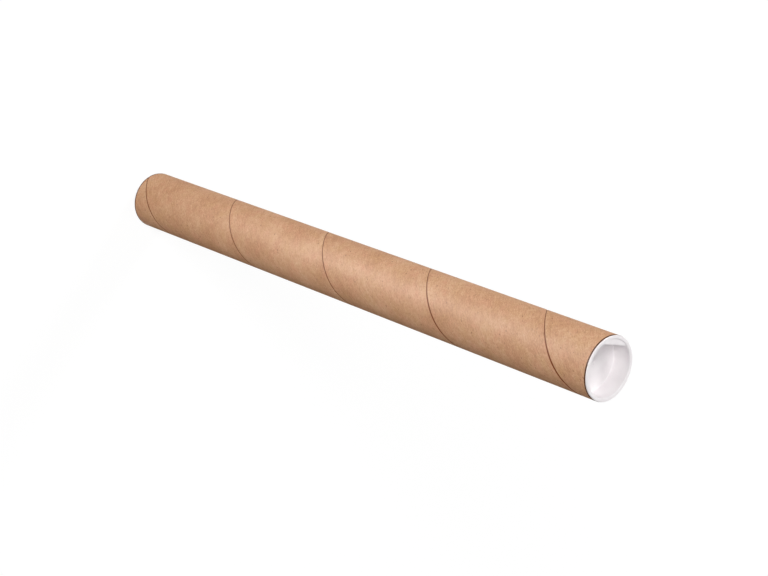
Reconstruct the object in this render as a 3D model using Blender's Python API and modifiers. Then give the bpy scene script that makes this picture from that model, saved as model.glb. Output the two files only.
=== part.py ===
"""Kraft mailing tube: a spiral-wound paper tube closed by a moulded plastic plug cap at each end.

Metres, +Z up. The tube stands on its bottom cap, with the origin on the floor at the tube's axis.
"""

import math

import bmesh
import bpy

# Wound paper tube
BORE = 0.0508  # inside diameter
WALL = 0.0023
LENGTH = 0.6096  # cut length of the paper tube

# Spiral seam: the open butt joint between the edges of the outermost ply
SEAM_RISE_DEG = 38.23  # slope of the seam, measured up from square across the tube
SEAM_GAP = 0.0005  # across the seam
OUTER_PLY = 0.0004  # thickness of the outermost ply, which is as deep as the gap goes
SEAM_BELOW_TOP = 0.0106  # the last crossing of the +X side, measured down from the tube's top edge

# Plug cap
CAP_WALL = 0.0008
RECESS_DEPTH = 0.0165  # from the flange's face to the floor of the cup
FLANGE = 0.0010  # thickness of the flange that stops against the tube's cut edge
FLANGE_SHORT = 0.00015  # how far the flange's edge stays inside the tube's outer surface
SKIRT_DRAFT_DEG = 1.0
FLANGE_ROUND = 0.0007  # the flange's outer edge
MOUTH_ROUND = 0.0010  # where the flange's face rolls over into the cup
FLOOR_FILLET = 0.0008  # inside the cup, where wall and floor meet
HEEL_ROUND = 0.0018  # outside the cup, where it leads into the bore
TAB_REACH = 0.0048  # pull tab: from the cup's wall to the tab's straight edge, at the middle
TAB_THICK = 0.0010
TAB_DROP = 0.0006  # the tab's face lies this far below the flange's face
TAB_EDGE_ROUND = 0.0003
TOP_TAB_DEG = 190.5  # where the tab points, counterclockwise from +X, seen from above
BOTTOM_TAB_DEG = 348.0

# Fits
SKIRT_CLEARANCE = 0.0003  # radial, where the skirt enters the bore
SEAT_CLEARANCE = 0.0003  # between the flange and the cut edge

ROUND_STEPS = 72  # facets around every turned piece
ARC_STEPS = 3  # facets around a small rounded edge
MERGE = 0.00001

tube_radius = BORE / 2 + WALL
bore_radius = BORE / 2
tube_bottom = FLANGE + SEAT_CLEARANCE
tube_top = tube_bottom + LENGTH
total_height = tube_top + SEAT_CLEARANCE + FLANGE
seam_slope = math.tan(math.radians(SEAM_RISE_DEG))
seam_lead = 2 * math.pi * tube_radius * seam_slope
cap_height = RECESS_DEPTH + CAP_WALL
flange_radius = tube_radius - FLANGE_SHORT
skirt_radius = bore_radius - SKIRT_CLEARANCE
mouth_radius = skirt_radius - CAP_WALL
draft = math.tan(math.radians(SKIRT_DRAFT_DEG))


def clear_scene():
    for old in list(bpy.data.objects):
        bpy.data.objects.remove(old, do_unlink=True)


def new_collection(name):
    made = bpy.data.collections.new(name)
    bpy.context.scene.collection.children.link(made)
    return made


def material(name, srgb, roughness):
    """A Principled material whose colour is given as it looks on a screen, 0 to 255."""
    made = bpy.data.materials.new(name)
    made.use_nodes = True
    shader = made.node_tree.nodes["Principled BSDF"]
    linear = [((c / 255 + 0.055) / 1.055) ** 2.4 for c in srgb]
    shader.inputs["Base Color"].default_value = (*linear, 1)
    shader.inputs["Roughness"].default_value = roughness
    shader.inputs["Metallic"].default_value = 0
    made.diffuse_color = (*linear, 1)
    return made


def rounded(corners):
    """Outline through (radius, height, rounding) corners, each rounded one replaced by an arc."""
    points = []
    for index, (r, z, rounding) in enumerate(corners):
        if not rounding:
            points.append((r, z))
            continue
        ways = []
        for r2, z2, _ in (corners[index - 1], corners[index + 1]):
            away = math.hypot(r2 - r, z2 - z)
            ways.append(((r2 - r) / away, (z2 - z) / away))
        (r1, z1), (r2, z2) = ways
        half = math.acos(max(-1.0, min(1.0, r1 * r2 + z1 * z2))) / 2
        middle = math.hypot(r1 + r2, z1 + z2)
        out = rounding / math.sin(half)
        centre_r = r + (r1 + r2) / middle * out
        centre_z = z + (z1 + z2) / middle * out
        tangent = rounding / math.tan(half)
        start = math.atan2(z + z1 * tangent - centre_z, r + r1 * tangent - centre_r)
        end = math.atan2(z + z2 * tangent - centre_z, r + r2 * tangent - centre_r)
        sweep = (end - start + math.pi) % (2 * math.pi) - math.pi
        for step in range(ARC_STEPS + 1):
            angle = start + sweep * step / ARC_STEPS
            points.append((centre_r + rounding * math.cos(angle), centre_z + rounding * math.sin(angle)))
    return points


def outline_object(name, points, closed, collection):
    """An object whose mesh is the outline's edges, in the XZ plane on the +X side."""
    mesh = bpy.data.meshes.new(name)
    count = len(points)
    edges = [(i, (i + 1) % count) for i in range(count if closed else count - 1)]
    mesh.from_pydata([(r, 0, z) for r, z in points], edges, [])
    made = bpy.data.objects.new(name, mesh)
    collection.objects.link(made)
    return made


def turn(piece, turns=1, rise=0.0):
    """Sweeps an outline around Z: once for a turned piece, or climbing for a helix."""
    screw = piece.modifiers.new("turn", "SCREW")
    screw.axis = "Z"
    screw.angle = 2 * math.pi
    screw.iterations = turns
    screw.screw_offset = rise
    screw.steps = ROUND_STEPS
    screw.render_steps = ROUND_STEPS
    screw.use_merge_vertices = rise == 0
    screw.merge_threshold = MERGE
    return screw


def finish_mesh(piece):
    """Replaces the object's mesh by what its modifiers make, closed, with its faces outward."""
    graph = bpy.context.evaluated_depsgraph_get()
    mesh = bpy.data.meshes.new_from_object(piece.evaluated_get(graph))
    piece.modifiers.clear()
    piece.data = mesh
    shape = bmesh.new()
    shape.from_mesh(mesh)
    open_edges = [edge for edge in shape.edges if edge.is_boundary]
    if open_edges:
        bmesh.ops.holes_fill(shape, edges=open_edges, sides=0)
    bmesh.ops.recalc_face_normals(shape, faces=shape.faces)
    shape.to_mesh(mesh)
    shape.free()


def boolean(piece, other, operation):
    modifier = piece.modifiers.new(operation.lower(), "BOOLEAN")
    modifier.operation = operation
    modifier.solver = "EXACT"
    modifier.object = other


def smooth(piece):
    piece.data.shade_smooth()
    piece.data.set_sharp_from_angle(angle=math.radians(35))


def hide_helper(helper):
    helper.hide_render = True
    helper.display_type = "WIRE"


def wound_tube(name, parts, cutters, finish):
    """The paper tube, with the helical gap that the outermost ply leaves between its edges."""
    wall = [
        (tube_radius, LENGTH),
        (tube_radius, 0),
        (bore_radius, 0),
        (bore_radius, LENGTH),
    ]
    tube = outline_object(name, wall, True, parts)
    tube.location.z = tube_bottom
    turn(tube)
    finish_mesh(tube)
    tube.data.materials.append(finish)
    smooth(tube)

    # The gap's height along the tube is its width across the seam, seen on the slope.
    half_height = SEAM_GAP / math.cos(math.radians(SEAM_RISE_DEG)) / 2
    gap_floor = tube_radius - OUTER_PLY
    outside = tube_radius + OUTER_PLY
    gap = [
        (outside, half_height),
        (outside, -half_height),
        (gap_floor, -half_height),
        (gap_floor, half_height),
    ]
    turns = math.ceil(LENGTH / seam_lead) + 2
    cutter = outline_object("seam_cutter", gap, True, cutters)
    crossings_down = math.ceil((LENGTH - SEAM_BELOW_TOP) / seam_lead)
    # It starts half a facet round, so that its facets never meet the tube's edge to edge.
    half_facet = math.pi / ROUND_STEPS
    cutter.rotation_euler.z = half_facet
    cutter.location.z = (
        tube_top - SEAM_BELOW_TOP - crossings_down * seam_lead + tube_radius * half_facet * seam_slope
    )
    turn(cutter, turns, seam_lead)
    finish_mesh(cutter)
    hide_helper(cutter)
    boolean(tube, cutter, "DIFFERENCE")
    return tube


def cup_outline():
    """Half section of the plug cap, from the cup's floor, over the flange and down the skirt."""
    floor_radius = mouth_radius - draft * RECESS_DEPTH
    heel_radius = skirt_radius - draft * (cap_height - FLANGE)
    return rounded(
        [
            (0, -RECESS_DEPTH, 0),
            (floor_radius, -RECESS_DEPTH, FLOOR_FILLET),
            (mouth_radius, 0, MOUTH_ROUND),
            (flange_radius, 0, FLANGE_ROUND),
            (flange_radius, -FLANGE, 0),
            (skirt_radius, -FLANGE, 0),
            (heel_radius, -cap_height, HEEL_ROUND),
            (0, -cap_height, 0),
        ]
    )


def pull_tab(cutters):
    """The segment-shaped web across one side of the cup's mouth, its edge set into the wall."""
    rim = mouth_radius + CAP_WALL / 2
    straight_edge = mouth_radius - TAB_REACH
    shape = bmesh.new()
    bmesh.ops.create_cone(
        shape, cap_ends=True, segments=ROUND_STEPS, radius1=rim, radius2=rim, depth=TAB_THICK
    )
    everything = shape.verts[:] + shape.edges[:] + shape.faces[:]
    bmesh.ops.bisect_plane(
        shape, geom=everything, plane_co=(straight_edge, 0, 0), plane_no=(1, 0, 0), clear_inner=True
    )
    bmesh.ops.holes_fill(shape, edges=[edge for edge in shape.edges if edge.is_boundary], sides=0)
    free_edges = [
        edge
        for edge in shape.edges
        if all(abs(vert.co.x - straight_edge) < MERGE for vert in edge.verts)
        and abs(edge.verts[0].co.z - edge.verts[1].co.z) < MERGE
    ]
    bmesh.ops.bevel(
        shape, geom=free_edges, offset=TAB_EDGE_ROUND, segments=2, profile=0.5, affect="EDGES"
    )
    bmesh.ops.translate(shape, verts=shape.verts, vec=(0, 0, -TAB_DROP - TAB_THICK / 2))
    bmesh.ops.recalc_face_normals(shape, faces=shape.faces)
    mesh = bpy.data.meshes.new("pull_tab")
    shape.to_mesh(mesh)
    shape.free()
    tab = bpy.data.objects.new("pull_tab", mesh)
    cutters.objects.link(tab)
    hide_helper(tab)
    return tab


def plug_cap(parts, cutters, finish):
    """One moulded cap, its flange's face at the origin and its cup running down from it."""
    cap = outline_object("plug_cap", cup_outline(), False, parts)
    turn(cap)
    finish_mesh(cap)
    tab = pull_tab(cutters)
    boolean(cap, tab, "UNION")
    finish_mesh(cap)
    cap.data.materials.clear()
    cap.data.materials.append(finish)
    smooth(cap)
    mesh = cap.data
    bpy.data.objects.remove(cap)
    return mesh


clear_scene()
parts = new_collection("mailing_tube")
cutters = new_collection("cutters")
kraft = material("kraft_paper", (205, 163, 128), 0.85)
plastic = material("white_plastic", (240, 238, 238), 0.4)

tube = wound_tube("paper_tube", parts, cutters, kraft)
cap_mesh = plug_cap(parts, cutters, plastic)

top_cap = bpy.data.objects.new("top_cap", cap_mesh)
parts.objects.link(top_cap)
top_cap.location.z = total_height
top_cap.rotation_euler.z = math.radians(TOP_TAB_DEG)

bottom_cap = bpy.data.objects.new("bottom_cap", cap_mesh)
parts.objects.link(bottom_cap)
bottom_cap.rotation_euler = (math.pi, 0, math.radians(BOTTOM_TAB_DEG))
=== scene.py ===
"""Kraft mailing tube with plug caps: the finish of the wound paper and of the moulded plastic.

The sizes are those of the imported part, in metres. The tube stands upright, and the camera is turned
about its own axis, so that the tube lies across the picture as in the photograph.
"""

import math

import bmesh
import bpy
from mathutils import Matrix, Vector


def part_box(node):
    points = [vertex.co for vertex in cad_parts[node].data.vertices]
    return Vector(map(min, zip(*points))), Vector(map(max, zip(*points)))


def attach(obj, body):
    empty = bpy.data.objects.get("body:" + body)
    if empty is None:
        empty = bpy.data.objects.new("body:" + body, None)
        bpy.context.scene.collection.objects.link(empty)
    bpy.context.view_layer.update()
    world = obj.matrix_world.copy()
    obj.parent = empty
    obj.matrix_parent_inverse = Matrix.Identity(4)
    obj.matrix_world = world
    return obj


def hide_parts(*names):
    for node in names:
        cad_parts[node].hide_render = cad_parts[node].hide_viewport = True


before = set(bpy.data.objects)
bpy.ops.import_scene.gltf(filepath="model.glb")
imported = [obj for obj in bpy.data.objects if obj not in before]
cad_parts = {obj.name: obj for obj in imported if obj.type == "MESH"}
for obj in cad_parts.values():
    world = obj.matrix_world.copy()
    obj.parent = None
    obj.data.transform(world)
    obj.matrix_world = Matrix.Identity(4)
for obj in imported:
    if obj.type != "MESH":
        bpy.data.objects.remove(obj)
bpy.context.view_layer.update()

# Wound paper, as in the part
BORE_RADIUS = 0.0254
SEAM_RISE = math.radians(38.23)
SEAM_GAP = 0.0005
OUTER_PLY = 0.0004
SEAM_BELOW_TOP = 0.0106
PLIES = 6

# Plug cap, as in the part
CAP_WALL = 0.0008
RECESS_DEPTH = 0.0165
FLANGE = 0.0010
SKIRT_CLEARANCE = 0.0003
SKIRT_DRAFT = math.radians(1.0)
FLANGE_ROUND = 0.0007
FLANGE_EDGE_ROUND = 0.0001
NECK_FILLET = 0.0003
MOUTH_ROUND = 0.0010
FLOOR_FILLET = 0.0008
HEEL_ROUND = 0.0018
TAB_REACH = 0.0048
TAB_THICK = 0.0010
TAB_DROP = 0.0006
TAB_EDGE_ROUND = 0.0003
TOP_TAB_TURN = math.radians(190.5)
BOTTOM_TAB_TURN = math.radians(348)

# Fine detail
WINDING_STEPS = 144  # rows of faces to a turn of the outermost ply
STRIP_COLUMNS = 24  # columns of faces across the ply's outer side
PLY_EDGE_DROP = 0.00009  # how far the ply's cut edge is pressed down
PLY_EDGE_WIDTH = 0.00045
GAP_WANDER = 0.00007
TURNED_STEPS = 192
ARC_STEPS = 8
GATE_RADIUS = 0.0009
GATE_HEIGHT = 0.00022
PLY_GROOVE = 0.00005  # half the width, and the depth, of the line between two plies on a cut end
PLY_CLEARANCE = 0.00002  # between the outermost ply and the ones below it
EDGE_CROWDING = 2.5  # how closely the strip's columns crowd at its edges
MERGE = 1e-6
SHARP_EDGE = math.radians(35)

# Camera, fitted to the tube's outline in the photograph
CAMERA_PLACE = (0.0028, -1.1657, 1.4825)
CAMERA_TILT = math.radians(44.218)  # down from level
CAMERA_ROLL = math.radians(110.59)
CAMERA_LENS = 85.68  # millimetres on a 36 mm sensor

tube_low, tube_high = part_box("paper_tube")
top_cap_low, top_cap_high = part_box("top_cap")
bottom_cap_low, bottom_cap_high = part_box("bottom_cap")
tube_radius = tube_high.x
seam_lead = 2 * math.pi * tube_radius * math.tan(SEAM_RISE)
gap_height = SEAM_GAP / math.cos(SEAM_RISE)
flange_radius = top_cap_high.y
cap_height = RECESS_DEPTH + CAP_WALL
skirt_radius = BORE_RADIUS - SKIRT_CLEARANCE
mouth_radius = skirt_radius - CAP_WALL


# Node trees


class Signal:
    """An output socket that Python's operators work on: each adds a Math node to its tree."""

    def __init__(self, tree, socket):
        self.tree = tree
        self.socket = socket

    def maths(self, operation, *others):
        numbers = dict(enumerate((self, *others)))
        return self.tree.node("ShaderNodeMath", {"operation": operation}, numbers)

    def __add__(self, other):
        return self.maths("ADD", other)

    __radd__ = __add__

    def __mul__(self, other):
        return self.maths("MULTIPLY", other)

    __rmul__ = __mul__

    def __sub__(self, other):
        return self.maths("SUBTRACT", other)

    def __rsub__(self, other):
        return (self * -1) + other

    def __truediv__(self, other):
        return self.maths("DIVIDE", other)

    def __pow__(self, other):
        return self.maths("POWER", other)

    def between(self, low, high):
        """0 at low or less, 1 at high or more, and a smooth step from one to the other."""
        sockets = {"Value": self, "From Min": low, "From Max": high}
        settings = {"interpolation_type": "SMOOTHSTEP"}
        return self.tree.node("ShaderNodeMapRange", settings, sockets)


class Tree:
    """A shader or geometry node tree, to which nodes are added one call each."""

    def __init__(self, node_tree):
        self.nodes = node_tree.nodes
        self.links = node_tree.links
        self.nodes.clear()

    def node(self, kind, settings=None, sockets=None, output=0):
        """Adds a node, sets it, feeds its sockets with values or signals, and returns an output."""
        made = self.nodes.new(kind)
        for name, value in (settings or {}).items():
            setattr(made, name, value)
        for key, value in (sockets or {}).items():
            socket = self.socket(made.inputs, key)
            if isinstance(value, Signal):
                self.links.new(value.socket, socket)
            else:
                socket.default_value = value
        if not made.outputs:
            return None
        return Signal(self, self.socket(made.outputs, output))

    @staticmethod
    def socket(sockets, key):
        if isinstance(key, int):
            return sockets[key]
        return next(s for s in sockets if key in (s.identifier, s.name) and s.enabled)

    def mix(self, share, first, second):
        """A colour between two colours."""
        settings = {"data_type": "RGBA"}
        sockets = {"Factor_Float": share, "A_Color": first, "B_Color": second}
        return self.node("ShaderNodeMix", settings, sockets, "Result_Color")

    def vector(self, x, y, z):
        return self.node("ShaderNodeCombineXYZ", None, {"X": x, "Y": y, "Z": z})

    def parts(self, vector):
        """The three numbers of a vector."""
        split = self.node("ShaderNodeSeparateXYZ", None, {0: vector}).socket.node
        return [Signal(self, output) for output in split.outputs]

    def cells(self, vector, scale, kind="Distance"):
        """Distance to the nearest of many scattered points, or a random colour for each."""
        sockets = {"Vector": vector, "Scale": scale}
        return self.node("ShaderNodeTexVoronoi", {"feature": "F1"}, sockets, kind)

    def noise(self, vector, scale, detail=2.0, roughness=0.5, kind="Fac"):
        sockets = {"Vector": vector, "Scale": scale, "Detail": detail, "Roughness": roughness}
        return self.node("ShaderNodeTexNoise", None, sockets, kind)


def screen(red, green, blue):
    """A colour as it looks on a screen, 0 to 255, in Blender's linear numbers."""
    return (*(((c / 255 + 0.055) / 1.055) ** 2.4 for c in (red, green, blue)), 1)


# Paper


KRAFT = screen(192, 150, 117)
KRAFT_PALE = screen(210, 176, 145)
KRAFT_DARK = screen(167, 122, 90)
KRAFT_PINK = screen(198, 147, 118)
KRAFT_SAND = screen(190, 151, 110)
FIBRE_DARK = screen(110, 69, 43)
CUT_EDGE = screen(166, 120, 86)
# Painted shade at both ends of the tube, along the line under the cap's flange
TUBE_END_SHADE = screen(60, 26, 9)
GLUE_LINE = screen(125, 85, 56)
# Painted shade along the edges of the seam
SEAM_EDGE_SHADE = screen(128, 58, 12)
# Painted shade in the seam gap, and the dark seam line in the bore
SEAM_LINE_AND_GAP_SHADE = screen(74, 28, 6)


def paper_shader(name, place_of):
    """Kraft paper: clouds, machine streaks, fibres and flecks, with place_of's stains and painted shade
    over them.

    place_of gives the place along and across the paper, the shares and colours of its stains and painted
    shade, and the height that its seam dents.
    """
    material = bpy.data.materials.new(name)
    material.use_nodes = True
    tree = Tree(material.node_tree)
    place, stains_and_shade, dent = place_of(tree)
    along, across, lift = tree.parts(place)

    clouds = tree.noise(place, 30.0, 2.0) - 0.5
    hue = tree.noise(place, 75.0, 3.0, 0.6) - 0.5
    mottle = tree.noise(tree.vector(along * 0.7, across, lift), 240.0, 3.0, 0.6) - 0.5
    streaks = tree.noise(tree.vector(along * 0.05, across, lift), 650.0, 2.0, 0.6) - 0.5
    grit = tree.noise(tree.vector(along * 0.5, across, lift), 1000.0, 3.0, 0.75) - 0.5
    tone = clouds * 0.8 + mottle * 0.9 + streaks * 0.5 + grit * 1.7
    paper = KRAFT
    for signal, colour in (
        (hue * 3.0, KRAFT_PINK),
        (hue * -3.0, KRAFT_SAND),
        (tone * 1.9, KRAFT_PALE),
        (tone * -1.9, KRAFT_DARK),
    ):
        paper = tree.mix(signal.maths("MAXIMUM", 0.0), paper, colour)

    bent = tree.noise(place, 300.0, 2.0, 0.5, "Color")
    swerve = tree.node("ShaderNodeVectorMath", {"operation": "SCALE"}, {0: bent, "Scale": 0.0018})
    wavy = tree.node("ShaderNodeVectorMath", {"operation": "ADD"}, {0: place, 1: swerve})
    u, v, w = tree.parts(wavy)
    dark_fibres = 1 - tree.cells(tree.vector(u * 0.10, v, w), 900.0).between(0.08, 0.24)
    pale_fibres = 1 - tree.cells(tree.vector(u * 0.16, v, w), 1100.0).between(0.08, 0.24)
    paper = tree.mix(dark_fibres * 0.42, paper, FIBRE_DARK)
    paper = tree.mix(pale_fibres * 0.5, paper, KRAFT_PALE)

    fleck_place = tree.vector(u * 0.6, v, w)
    fleck = 1 - tree.cells(fleck_place, 380.0).between(0.10, 0.26)
    chance, _, _ = tree.parts(tree.cells(fleck_place, 380.0, "Color"))
    flecks = [
        (fleck * chance.between(0.60, 0.66) * 0.5, KRAFT_DARK),
        (fleck * chance.between(0.90, 0.92) * 0.6, FIBRE_DARK),
        (fleck * (1 - chance.between(0.22, 0.26)) * 0.55, KRAFT_PALE),
    ]
    for share, colour in flecks + stains_and_shade:
        paper = tree.mix(share, paper, colour)

    grain = grit * 0.7 + mottle * 0.4 + dark_fibres * 0.3
    bump = tree.node(
        "ShaderNodeBump", None, {"Strength": 0.35, "Distance": 0.00008, "Height": grain + dent}
    )
    shader = tree.node(
        "ShaderNodeBsdfPrincipled",
        None,
        {
            "Base Color": paper,
            "Roughness": 0.62 + mottle * 0.3,
            "Specular IOR Level": 0.12,
            "Normal": bump,
        },
    )
    tree.node("ShaderNodeOutputMaterial", None, {"Surface": shader})
    return material


def seam_shade_share(x, z):
    """How much painted shade darkens the seam: the most on the shaded +X side of the tube, and towards
    its top.
    """
    return (x / tube_radius).between(-1.0, 0.5) * (z.between(0.28, 0.40) * 0.4 + 0.6)


def end_distance(z):
    """How far a height lies from the nearer end of the tube."""
    from_low = (z - tube_low.z).maths("ABSOLUTE")
    return from_low.maths("MINIMUM", (z - tube_high.z).maths("ABSOLUTE"))


def strip_place(tree):
    """On the wound outer ply, the pattern runs along the strip, with painted shade along the seam's
    edges, in the seam gap and at both ends of the tube.
    """
    place = tree.node("ShaderNodeAttribute", {"attribute_name": "strip_place"}, None, "Vector")
    edge = tree.node("ShaderNodeAttribute", {"attribute_name": "edge_distance"}, None, "Fac")
    sunk = tree.node("ShaderNodeAttribute", {"attribute_name": "ply_depth"}, None, "Fac")
    x, _, z = tree.parts(tree.node("ShaderNodeTexCoord", None, None, "Object"))
    local_seam_shade = seam_shade_share(x, z)
    # Painted shade: darkens the ply along the seam's edges, more on the shaded side and towards the top
    seam_edge_shade = (1 - edge.between(0.0, local_seam_shade * 0.0008 + 0.0006)) * (local_seam_shade * 0.7 + 0.3)
    # Painted shade on the ply's sunken sides and underside, in the seam gap
    side = sunk.between(0.00005, 0.0002)
    # Painted shade: a near-black band on the outer ply at both ends, where it meets the cap's flange
    rim = (1 - end_distance(z).between(0.0007, 0.0013)) * 0.92
    return place, [(seam_edge_shade, SEAM_EDGE_SHADE), (side, SEAM_LINE_AND_GAP_SHADE), (rim, TUBE_END_SHADE)], 0.0


def wall_place(tree):
    """On the plies below: painted shade in the seam gap, glue lines on the cut ends, and a dark seam
    line in the bore.
    """
    here = tree.node("ShaderNodeTexCoord", None, None, "Object")
    x, y, z = tree.parts(here)
    radius = (x * x + y * y) ** 0.5
    angle = y.maths("ARCTAN2", x)
    around = angle * tube_radius
    run, rise = math.cos(SEAM_RISE), math.sin(SEAM_RISE)
    place = tree.vector(around * run + z * rise, z * run - around * rise, radius)
    ply = (tube_radius - OUTER_PLY - BORE_RADIUS) / (PLIES - 1)
    rings = ((radius - BORE_RADIUS) / ply).maths("FRACT")
    line = 1 - rings.maths("PINGPONG", 0.5).between(0.0, 0.16)
    end = 1 - end_distance(z).between(0.0001, 0.0002)
    outside = radius.between(tube_radius - OUTER_PLY * 1.3, tube_radius - OUTER_PLY * 1.1)
    turns = (z - angle * (seam_lead / (2 * math.pi))) / seam_lead + 0.37
    inner_seam = 1 - (turns.maths("FRACT") - 0.5).maths("ABSOLUTE").between(0.0012, 0.0026)
    stains_and_shade = [
        (inner_seam * 0.75, SEAM_LINE_AND_GAP_SHADE),
        (end * 0.8, CUT_EDGE),
        (end * line * 0.7, GLUE_LINE),
        # Painted shade on the plies' outer face in the seam gap, heavier on the shaded side
        (outside * (1 - end) * (seam_shade_share(x, z) * 0.5 + 0.5), SEAM_LINE_AND_GAP_SHADE),
    ]
    return place, stains_and_shade, (1 - inner_seam) * 2


# Plastic


PLASTIC = screen(238, 234, 235)
PLASTIC_DIM = screen(233, 228, 230)


def plastic_shader():
    """Moulded polyethylene: faint clouding, a fine satin grain and light scuffs."""
    material = bpy.data.materials.new("white_plastic_satin")
    material.use_nodes = True
    tree = Tree(material.node_tree)
    here = tree.node("ShaderNodeTexCoord", None, None, "Object")
    clouds = tree.noise(here, 60.0, 3.0)
    grain = tree.noise(here, 2200.0, 2.0)
    x, y, z = tree.parts(here)
    scuffs = tree.noise(tree.vector(x * 0.3, y, z * 3), 900.0, 4.0, 0.7).between(0.6, 0.75)
    colour = tree.mix(clouds.between(0.35, 0.7), PLASTIC, PLASTIC_DIM)
    bump = tree.node(
        "ShaderNodeBump", None, {"Strength": 0.12, "Distance": 0.00005, "Height": grain + clouds * 3}
    )
    shader = tree.node(
        "ShaderNodeBsdfPrincipled",
        None,
        {
            "Base Color": colour,
            "Roughness": 0.5 + scuffs * 0.15 + (clouds - 0.5) * 0.1,
            "Specular IOR Level": 0.18,
            "Normal": bump,
        },
    )
    tree.node("ShaderNodeOutputMaterial", None, {"Surface": shader})
    return material


# Wound outer ply


def winding_tree():
    """Geometry nodes for the outermost ply: one strip, wound edge to edge, trimmed at both ends."""
    group = bpy.data.node_groups.new("wound_strip", "GeometryNodeTree")
    sizes = (
        "Radius",
        "Ply",
        "Lead",
        "Gap height",
        "Bottom",
        "Top",
        "Seam height",
        "Rise",
        "Edge drop",
        "Edge width",
        "Wander",
    )
    group.interface.new_socket("Geometry", in_out="INPUT", socket_type="NodeSocketGeometry")
    for size in sizes:
        group.interface.new_socket(size, in_out="INPUT", socket_type="NodeSocketFloat")
    group.interface.new_socket("Rows", in_out="INPUT", socket_type="NodeSocketInt")
    group.interface.new_socket("Paper", in_out="INPUT", socket_type="NodeSocketMaterial")
    group.interface.new_socket("Geometry", in_out="OUTPUT", socket_type="NodeSocketGeometry")
    tree = Tree(group)
    given = tree.node("NodeGroupInput").socket.node
    get = {socket.name: Signal(tree, socket) for socket in given.outputs}

    # The grid's short way runs round the strip's section: over its outer side, then back below it.
    outer = STRIP_COLUMNS
    columns = 2 * outer + 2
    grid = tree.node(
        "GeometryNodeMeshGrid",
        None,
        {"Size X": 1.0, "Size Y": 1.0, "Vertices X": get["Rows"], "Vertices Y": columns + 1},
    )
    place = tree.node("GeometryNodeInputPosition")
    grid_x, grid_y, _ = tree.parts(place)
    column = ((grid_y + 0.5) * columns).maths("ROUND")
    on_outer = column.maths("LESS_THAN", outer + 0.5)
    closing = column.maths("GREATER_THAN", 2 * outer + 1.5)
    below = (1 - on_outer) * (1 - closing)
    across_outer = column * (2 / outer) - 1
    across_below = 1 - (column - outer - 1) * (2 / outer)
    even = on_outer * across_outer + below * across_below - closing
    # Columns crowd towards the edges, where the paper turns down.
    inward = (1 - even.maths("ABSOLUTE")).maths("MAXIMUM", 0.0) ** EDGE_CROWDING
    half = (get["Lead"] - get["Gap height"]) / 2
    side = even.maths("SIGN") * (1 - inward)
    edge_distance = half * inward

    two_pi = 2 * math.pi
    first = (get["Bottom"] + get["Gap height"] / 2 - get["Lead"] - get["Seam height"]) / get["Lead"]
    last = (get["Top"] - get["Gap height"] / 2 - get["Seam height"]) / get["Lead"]
    turns = first + (grid_x + 0.5) * (last - first)
    angle = turns * two_pi
    around = angle * get["Radius"]
    wander_place = tree.vector(around, even.maths("SIGN") * 3, 0.0)
    wander = (tree.noise(wander_place, 45.0, 3.0, 0.6) - 0.5) * 2
    at_edge = 1 - edge_distance.between(0.0, 0.004)
    middle = get["Seam height"] + turns * get["Lead"] + get["Lead"] / 2
    free_height = middle + side * half + wander * at_edge * get["Wander"]
    height = free_height.maths("MAXIMUM", get["Bottom"]).maths("MINIMUM", get["Top"])
    pressed = (edge_distance / get["Edge width"] * -1).maths("EXPONENT") * get["Edge drop"]
    outer_share = on_outer.maths("MAXIMUM", closing)
    depth = outer_share * pressed + (1 - outer_share) * get["Ply"]
    radius = get["Radius"] - depth
    wound = tree.vector(
        radius * angle.maths("COSINE"), radius * angle.maths("SINE"), height
    )
    run, rise = get["Rise"].maths("COSINE"), get["Rise"].maths("SINE")
    pattern_place = tree.vector(around * run + height * rise, height * run - around * rise, depth)

    shape = grid
    for name, kind, value in (
        ("strip_place", "FLOAT_VECTOR", pattern_place),
        ("edge_distance", "FLOAT", edge_distance),
        ("ply_depth", "FLOAT", depth),
    ):
        shape = tree.node(
            "GeometryNodeStoreNamedAttribute",
            {"data_type": kind, "domain": "POINT"},
            {"Geometry": shape, "Name": name, "Value": value},
        )
    shape = tree.node("GeometryNodeSetPosition", None, {"Geometry": shape, "Position": wound})
    shape = tree.node("GeometryNodeMergeByDistance", None, {"Geometry": shape, "Distance": MERGE})
    shape = tree.node("GeometryNodeRealizeInstances", None, {"Geometry": shape})
    shape = tree.node(
        "GeometryNodeSetMaterial", None, {"Geometry": shape, "Material": get["Paper"]}
    )
    tree.node("NodeGroupOutput", None, {0: shape})
    return group


def wound_strip(paper):
    """The outermost ply as one closed strip, which leaves the seam open between its edges."""
    rows = math.ceil(((tube_high.z - tube_low.z) / seam_lead + 1) * WINDING_STEPS)
    values = {
        "Radius": tube_radius,
        "Ply": OUTER_PLY,
        "Lead": seam_lead,
        "Gap height": gap_height,
        "Bottom": tube_low.z,
        "Top": tube_high.z,
        "Seam height": tube_high.z - SEAM_BELOW_TOP,
        "Rise": SEAM_RISE,
        "Edge drop": PLY_EDGE_DROP,
        "Edge width": PLY_EDGE_WIDTH,
        "Wander": GAP_WANDER,
        "Rows": rows,
        "Paper": paper,
    }
    strip = bpy.data.objects.new("outer_ply", bpy.data.meshes.new("outer_ply"))
    bpy.context.scene.collection.objects.link(strip)
    modifier = strip.modifiers.new("winding", "NODES")
    modifier.node_group = winding_tree()
    for item in modifier.node_group.interface.items_tree:
        if item.in_out == "INPUT" and item.name in values:
            modifier[item.identifier] = values[item.name]
    graph = bpy.context.evaluated_depsgraph_get()
    mesh = bpy.data.meshes.new_from_object(strip.evaluated_get(graph))
    strip.modifiers.clear()
    strip.data = mesh
    close_mesh(strip)
    return strip


# Turned pieces


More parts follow.
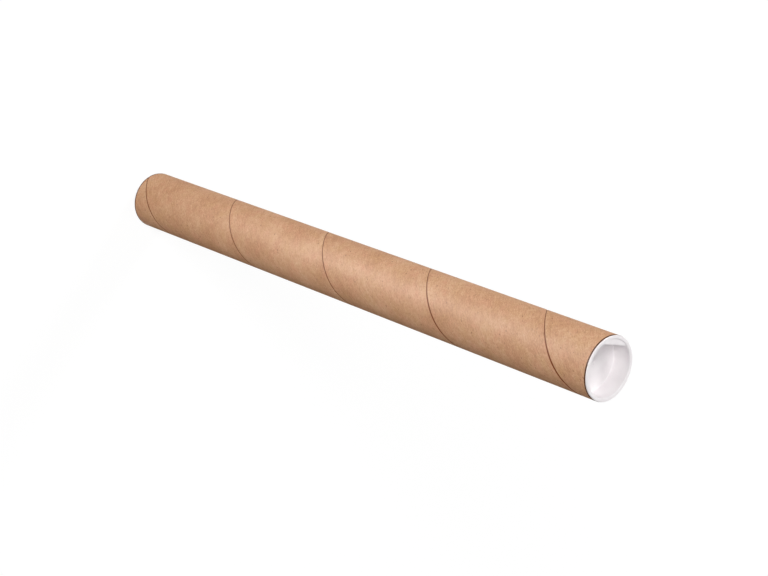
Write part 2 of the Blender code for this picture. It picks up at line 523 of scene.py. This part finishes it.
def close_mesh(piece):
    """Merges doubles, turns the faces outwards and shades the piece smooth between sharp edges."""
    shape = bmesh.new()
    shape.from_mesh(piece.data)
    bmesh.ops.remove_doubles(shape, verts=shape.verts, dist=MERGE)
    bmesh.ops.recalc_face_normals(shape, faces=shape.faces)
    if shape.calc_volume(signed=True) < 0:
        bmesh.ops.reverse_faces(shape, faces=shape.faces)
    shape.to_mesh(piece.data)
    shape.free()
    piece.data.shade_smooth()
    piece.data.set_sharp_from_angle(angle=SHARP_EDGE)


def rounded(corners):
    """Outline through (radius, height, rounding) corners, each rounded one replaced by an arc."""
    points = []
    for index, (r, z, rounding) in enumerate(corners):
        if not rounding:
            points.append((r, z))
            continue
        ways = []
        for r2, z2, _ in (corners[index - 1], corners[index + 1]):
            away = math.hypot(r2 - r, z2 - z)
            ways.append(((r2 - r) / away, (z2 - z) / away))
        (r1, z1), (r2, z2) = ways
        half = math.acos(max(-1.0, min(1.0, r1 * r2 + z1 * z2))) / 2
        middle = math.hypot(r1 + r2, z1 + z2)
        out = rounding / math.sin(half)
        centre_r = r + (r1 + r2) / middle * out
        centre_z = z + (z1 + z2) / middle * out
        tangent = rounding / math.tan(half)
        start = math.atan2(z + z1 * tangent - centre_z, r + r1 * tangent - centre_r)
        end = math.atan2(z + z2 * tangent - centre_z, r + r2 * tangent - centre_r)
        sweep = (end - start + math.pi) % (2 * math.pi) - math.pi
        for step in range(ARC_STEPS + 1):
            angle = start + sweep * step / ARC_STEPS
            points.append((centre_r + rounding * math.cos(angle), centre_z + rounding * math.sin(angle)))
    return points


def turned(name, points, closed):
    """A piece turned about Z from its half section."""
    mesh = bpy.data.meshes.new(name)
    count = len(points)
    edges = [(i, (i + 1) % count) for i in range(count if closed else count - 1)]
    mesh.from_pydata([(r, 0, z) for r, z in points], edges, [])
    piece = bpy.data.objects.new(name, mesh)
    bpy.context.scene.collection.objects.link(piece)
    screw = piece.modifiers.new("turn", "SCREW")
    screw.steps = screw.render_steps = TURNED_STEPS
    screw.use_merge_vertices = True
    screw.merge_threshold = MERGE
    apply_modifiers(piece)
    return piece


def apply_modifiers(piece):
    graph = bpy.context.evaluated_depsgraph_get()
    mesh = bpy.data.meshes.new_from_object(piece.evaluated_get(graph))
    piece.modifiers.clear()
    piece.data = mesh
    close_mesh(piece)


def under_plies(paper):
    """The plies below the outermost one, with the fine grooves between plies on the cut ends."""
    outside = tube_radius - OUTER_PLY - PLY_CLEARANCE
    ply = (outside - BORE_RADIUS) / (PLIES - 1)
    low, high = tube_low.z, tube_high.z
    end = []
    for number in range(PLIES - 2, 0, -1):
        r = BORE_RADIUS + ply * number
        end += [(r + PLY_GROOVE, 0), (r, PLY_GROOVE), (r - PLY_GROOVE, 0)]
    down = [(outside, high), (outside, low)] + [(r, low + drop) for r, drop in end]
    up = [(BORE_RADIUS, low), (BORE_RADIUS, high)] + [(r, high - drop) for r, drop in reversed(end)]
    piece = turned("under_plies", down + up, True)
    piece.data.materials.clear()
    piece.data.materials.append(paper)
    return piece


def cup_outline():
    """Half section of the plug cap, its flange's face at height 0."""
    draft = math.tan(SKIRT_DRAFT)
    floor_radius = mouth_radius - draft * RECESS_DEPTH
    heel_radius = skirt_radius - draft * (cap_height - FLANGE)
    return rounded(
        [
            (0, -RECESS_DEPTH + GATE_HEIGHT, 0),
            (GATE_RADIUS, -RECESS_DEPTH + GATE_HEIGHT, GATE_HEIGHT / 3),
            (GATE_RADIUS * 1.3, -RECESS_DEPTH, GATE_HEIGHT / 3),
            (floor_radius, -RECESS_DEPTH, FLOOR_FILLET),
            (mouth_radius, 0, MOUTH_ROUND),
            (flange_radius, 0, FLANGE_ROUND),
            (flange_radius, -FLANGE, FLANGE_EDGE_ROUND),
            (skirt_radius, -FLANGE, NECK_FILLET),
            (heel_radius, -cap_height, HEEL_ROUND),
            (0, -cap_height, 0),
        ]
    )


def pull_tab():
    """The web across one side of the cup's mouth, with its straight edge rounded."""
    rim = mouth_radius + CAP_WALL / 2
    straight_edge = mouth_radius - TAB_REACH
    shape = bmesh.new()
    bmesh.ops.create_cone(
        shape, cap_ends=True, segments=TURNED_STEPS, radius1=rim, radius2=rim, depth=TAB_THICK
    )
    everything = shape.verts[:] + shape.edges[:] + shape.faces[:]
    bmesh.ops.bisect_plane(
        shape, geom=everything, plane_co=(straight_edge, 0, 0), plane_no=(1, 0, 0), clear_inner=True
    )
    bmesh.ops.holes_fill(shape, edges=[edge for edge in shape.edges if edge.is_boundary], sides=0)
    free_edges = [
        edge
        for edge in shape.edges
        if all(abs(vert.co.x - straight_edge) < MERGE for vert in edge.verts)
        and abs(edge.verts[0].co.z - edge.verts[1].co.z) < MERGE
    ]
    bmesh.ops.bevel(
        shape, geom=free_edges, offset=TAB_EDGE_ROUND, segments=5, profile=0.5, affect="EDGES"
    )
    bmesh.ops.translate(shape, verts=shape.verts, vec=(0, 0, -TAB_DROP - TAB_THICK / 2))
    bmesh.ops.recalc_face_normals(shape, faces=shape.faces)
    mesh = bpy.data.meshes.new("pull_tab")
    shape.to_mesh(mesh)
    shape.free()
    tab = bpy.data.objects.new("pull_tab", mesh)
    bpy.context.scene.collection.objects.link(tab)
    return tab


def plug_cap(name, place, plastic):
    """A finished cap with its place in its mesh."""
    cap = turned(name, cup_outline(), False)
    tab = pull_tab()
    union = cap.modifiers.new("tab", "BOOLEAN")
    union.operation = "UNION"
    union.solver = "EXACT"
    union.object = tab
    apply_modifiers(cap)
    bpy.data.objects.remove(tab)
    cap.data.transform(place)
    cap.data.materials.clear()
    cap.data.materials.append(plastic)
    return cap


# The object


def build_object():
    strip_paper = paper_shader("kraft_strip", strip_place)
    wall_paper = paper_shader("kraft_wall", wall_place)
    plastic = plastic_shader()

    strip = wound_strip(strip_paper)
    plies = under_plies(wall_paper)
    up = Matrix.Translation((0, 0, top_cap_high.z)) @ Matrix.Rotation(TOP_TAB_TURN, 4, "Z")
    turned_over = Matrix.Rotation(BOTTOM_TAB_TURN, 4, "Z") @ Matrix.Rotation(math.pi, 4, "X")
    down = Matrix.Translation((0, 0, bottom_cap_low.z)) @ turned_over
    top = plug_cap("top_plug_cap", up, plastic)
    bottom = plug_cap("bottom_plug_cap", down, plastic)
    for piece, body, node, slot in (
        (strip, "tube", "paper_tube", "kraft_paper"),
        (plies, "tube", "paper_tube", "kraft_paper"),
        (top, "top_plug", "top_cap", "white_plastic"),
        (bottom, "bottom_plug", "bottom_cap", "white_plastic"),
    ):
        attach(piece, body)
        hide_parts(node)


# The studio


FLOOR_SIDE = 60.0
FLOOR_GREY = screen(190, 190, 190)
FLOOR_WARM = screen(204, 184, 168)
FLOOR_GLOW = 1.14
FLOOR_MATTE_SHARE = 0.2
WORLD_STRENGTH = 0.15
WHITE = (1, 1, 1, 1)


def seen_white(tree):
    """1 for rays that show the background: from the camera, in gloss and through clear things."""
    path = tree.node("ShaderNodeLightPath").socket.node
    rays = [
        Signal(tree, tree.socket(path.outputs, name))
        for name in ("Is Camera Ray", "Is Glossy Ray", "Is Transmission Ray")
    ]
    return rays[0].maths("MAXIMUM", rays[1]).maths("MAXIMUM", rays[2])


def build_floor():
    bpy.ops.mesh.primitive_plane_add(size=FLOOR_SIDE, location=(0, 0, 0))
    floor = bpy.context.object
    floor.name = "floor"
    material = bpy.data.materials.new("pale_floor")
    material.use_nodes = True
    tree = Tree(material.node_tree)
    matte = tree.node("ShaderNodeBsdfDiffuse", None, {"Color": FLOOR_GREY})
    warm = tree.node("ShaderNodeBsdfDiffuse", None, {"Color": FLOOR_WARM})
    # Mostly white light, with enough plain surface that the object's shadow stays
    glow = tree.node("ShaderNodeEmission", None, {"Color": WHITE, "Strength": FLOOR_GLOW})
    shown = tree.node("ShaderNodeMixShader", None, {0: FLOOR_MATTE_SHARE, 1: glow, 2: matte})
    both = tree.node("ShaderNodeMixShader", None, {0: seen_white(tree), 1: warm, 2: shown})
    tree.node("ShaderNodeOutputMaterial", None, {"Surface": both})
    floor.data.materials.append(material)


def build_world():
    world = bpy.data.worlds.new("studio")
    world.use_nodes = True
    bpy.context.scene.world = world
    tree = Tree(world.node_tree)
    dim = tree.node("ShaderNodeBackground", None, {"Color": WHITE, "Strength": WORLD_STRENGTH})
    white = tree.node("ShaderNodeBackground", None, {"Color": WHITE, "Strength": 1.0})
    both = tree.node("ShaderNodeMixShader", None, {0: seen_white(tree), 1: dim, 2: white})
    tree.node("ShaderNodeOutputWorld", None, {"Surface": both})


def softbox(name, aim, bearing, height, distance, size, strength):
    """A round lamp seen from aim at a bearing and height in degrees, as strong as a share of plain."""
    turn, lift = math.radians(bearing), math.radians(height)
    way = Vector((math.sin(turn) * math.cos(lift), -math.cos(turn) * math.cos(lift), math.sin(lift)))
    light = bpy.data.lights.new(name, "AREA")
    light.shape = "DISK"
    light.size = size
    light.energy = strength * math.pi**2 * distance**2
    lamp = bpy.data.objects.new(name, light)
    lamp.location = Vector(aim) + way * distance
    lamp.rotation_euler = way.to_track_quat("Z", "Y").to_euler()
    lamp.visible_camera = False
    bpy.context.scene.collection.objects.link(lamp)


def sheen_strip(bearing, away, width, length, power):
    """A strip lamp that lies on the floor and shows only in gloss, as the paper's soft highlight."""
    turn = math.radians(bearing)
    light = bpy.data.lights.new("sheen_strip", "AREA")
    light.shape = "RECTANGLE"
    light.size = width
    light.size_y = length
    light.energy = power
    lamp = bpy.data.objects.new("sheen_strip", light)
    lamp.location = (math.sin(turn) * away, -math.cos(turn) * away, 0.004)
    lamp.rotation_euler = (math.pi, 0, -turn)
    lamp.visible_camera = False
    lamp.visible_diffuse = False
    bpy.context.scene.collection.objects.link(lamp)


def dark_card(near, far):
    """A black card on the floor that shows only in gloss, so that the shaded side keeps a dark edge."""
    corners = [(near[0], near[1]), (far[0], near[1]), (far[0], far[1]), (near[0], far[1])]
    mesh = bpy.data.meshes.new("dark_card")
    mesh.from_pydata([(x, y, 0.003) for x, y in corners], [], [(0, 1, 2, 3)])
    material = bpy.data.materials.new("black_card")
    material.use_nodes = True
    tree = Tree(material.node_tree)
    black = tree.node("ShaderNodeBsdfDiffuse", None, {"Color": (0, 0, 0, 1)})
    tree.node("ShaderNodeOutputMaterial", None, {"Surface": black})
    mesh.materials.append(material)
    card = bpy.data.objects.new("dark_card", mesh)
    card.visible_camera = False
    card.visible_diffuse = False
    card.visible_shadow = False
    bpy.context.scene.collection.objects.link(card)


def build_lights():
    low = (0, 0, 0.25)
    middle = (0, 0, 0.35)
    softbox("front_softbox", low, -12, 40, 4.5, 1.5, 0.42)
    softbox("high_softbox", middle, 0, 64, 5.0, 1.7, 0.18)
    softbox("near_softbox", low, -20, 10, 1.4, 0.4, 0.28)
    softbox("side_softbox", (0, 0, 0.5), -108, 36, 3.0, 0.8, 0.4)
    softbox("right_softbox", (0, 0, 0.5), 80, 50, 3.0, 1.4, 0.08)
    softbox("back_softbox", middle, 178, 16, 3.0, 1.2, 0.28)
    sheen_strip(-6, 0.72, 0.26, 0.9, 32.0)
    dark_card((0.03, 0.0), (0.9, 0.9))


def build_camera():
    camera = bpy.data.cameras.new("camera")
    camera.lens = CAMERA_LENS
    camera.clip_start = 0.05
    eye = bpy.data.objects.new("camera", camera)
    look_down = Matrix.Rotation(math.pi / 2 - CAMERA_TILT, 4, "X")
    roll = Matrix.Rotation(CAMERA_ROLL, 4, "Z")
    eye.matrix_world = Matrix.Translation(CAMERA_PLACE) @ look_down @ roll
    bpy.context.scene.collection.objects.link(eye)
    bpy.context.scene.camera = eye


build_camera()
build_floor()
build_world()
build_lights()
build_object()
bpy.context.scene.view_settings.view_transform = "Standard"
